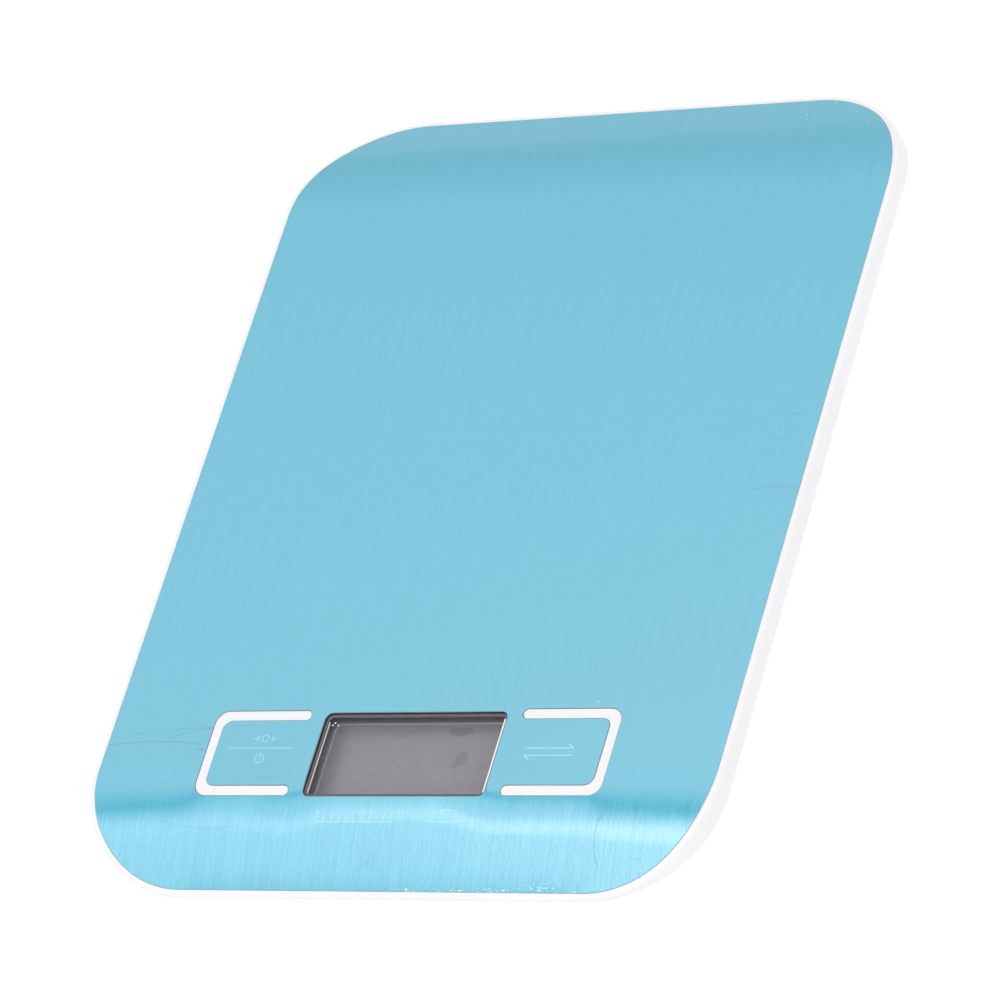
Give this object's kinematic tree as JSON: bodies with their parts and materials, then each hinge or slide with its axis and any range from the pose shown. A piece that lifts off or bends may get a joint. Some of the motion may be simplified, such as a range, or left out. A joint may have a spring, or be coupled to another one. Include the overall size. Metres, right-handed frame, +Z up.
{
  "type": "digital kitchen scale",
  "caption": "Slim digital kitchen scale: brushed steel platform curved down at both ends, on a white body, with a sunk display window and spring keys beside it.",
  "frame": {"origin": "centre of the footprint, on the surface that the rubber feet stand on", "axes": "+X to the right of the display as the user reads it, +Y to the rear, away from the display, +Z up"},
  "size_m": [0.18, 0.23, 0.017],
  "materials": {
    "white_body": "moulded ABS, satin gloss",
    "foot_rubber": "matt",
    "cell_case": "gloss sleeve",
    "spring_steel": "nickel plated",
    "cell_aluminium": "milled",
    "gauge_coating": "silicone coating",
    "screw_steel": "zinc plated",
    "wire_red": "insulation",
    "wire_black": "insulation",
    "adhesive": "double sided film",
    "plate_steel": "brushed along the depth, tinted blue",
    "lens_clear": "clear, polished",
    "bezel_dark": "satin",
    "lcd_grey": "grey reflective panel, off",
    "zebra_rubber": "matt",
    "board_green": "solder mask",
    "chip_black": "epoxy blob",
    "component_tan": "ceramic",
    "switch_dark": "satin",
    "switch_plunger": "satin"
  },
  "bodies": {
    "base": {"base_shell": "white_body", "rubber_feet": "foot_rubber", "battery_cell_front": "cell_case", "battery_cell_rear": "cell_case", "battery_contact_bridge": "spring_steel", "battery_contact_negative": "spring_steel", "battery_contact_positive": "spring_steel", "load_cell": "cell_aluminium", "strain_gauges": "gauge_coating", "load_cell_base_spacer": "cell_aluminium", "load_cell_base_screws": "screw_steel", "load_cell_wires": "wire_red", "battery_wires": "wire_black"},
    "battery_door": {"battery_door": "white_body"},
    "platform": {"platform_shell": "white_body", "plate_adhesive": "adhesive", "platform_plate": "plate_steel", "display_lens": "lens_clear", "display_bezel": "bezel_dark", "lcd_panel": "lcd_grey", "zebra_strips": "zebra_rubber", "main_pcb": "board_green", "controller_chip": "chip_black", "pcb_components": "component_tan", "power_switch_housing": "switch_dark", "unit_switch_housing": "switch_dark", "load_cell_platform_spacer": "cell_aluminium", "load_cell_platform_screws": "screw_steel", "pcb_screws": "screw_steel"},
    "power_key": {"power_key_tongue": "plate_steel", "power_key_pad": "white_body"},
    "unit_key": {"unit_key_tongue": "plate_steel", "unit_key_pad": "white_body"},
    "power_plunger": {"power_switch_plunger": "switch_plunger"},
    "unit_plunger": {"unit_switch_plunger": "switch_plunger"}
  },
  "joints": [
    {"name": "platform_load", "type": "slide", "parent": "base", "child": "platform", "axis": [0, 0, 1], "range_m": [-0.0005, 0], "stiffness_N_per_m": 98000, "springref_m": 0.00003, "deforming": ["load_cell", "strain_gauges", "load_cell_wires", "battery_wires"]},
    {"name": "power_key_press", "type": "hinge", "parent": "platform", "child": "power_key", "pos_m": [-0.0303, -0.07852, 0.01675], "axis": [0, -1, 0], "range_deg": [0, 0.9], "stiffness_Nm_per_rad": 1.9},
    {"name": "unit_key_press", "type": "hinge", "parent": "platform", "child": "unit_key", "pos_m": [0.0303, -0.07852, 0.01675], "axis": [0, 1, 0], "range_deg": [0, 0.9], "stiffness_Nm_per_rad": 1.9},
    {"name": "power_plunger_travel", "type": "slide", "parent": "platform", "child": "power_plunger", "axis": [0, 0, -1], "range_m": [0, 0.00025]},
    {"name": "unit_plunger_travel", "type": "slide", "parent": "platform", "child": "unit_plunger", "axis": [0, 0, -1], "range_m": [0, 0.00025]},
    {"name": "battery_door_open", "type": "hinge", "parent": "base", "child": "battery_door", "pos_m": [0, 0.0752, 0.0015], "axis": [1, 0, 0], "range_deg": [0, 60]}
  ],
  "couplings": [
    {"joint": "power_plunger_travel", "follows": "power_key_press", "m_per_rad": 0.0157},
    {"joint": "unit_plunger_travel", "follows": "unit_key_press", "m_per_rad": 0.0157}
  ]
}
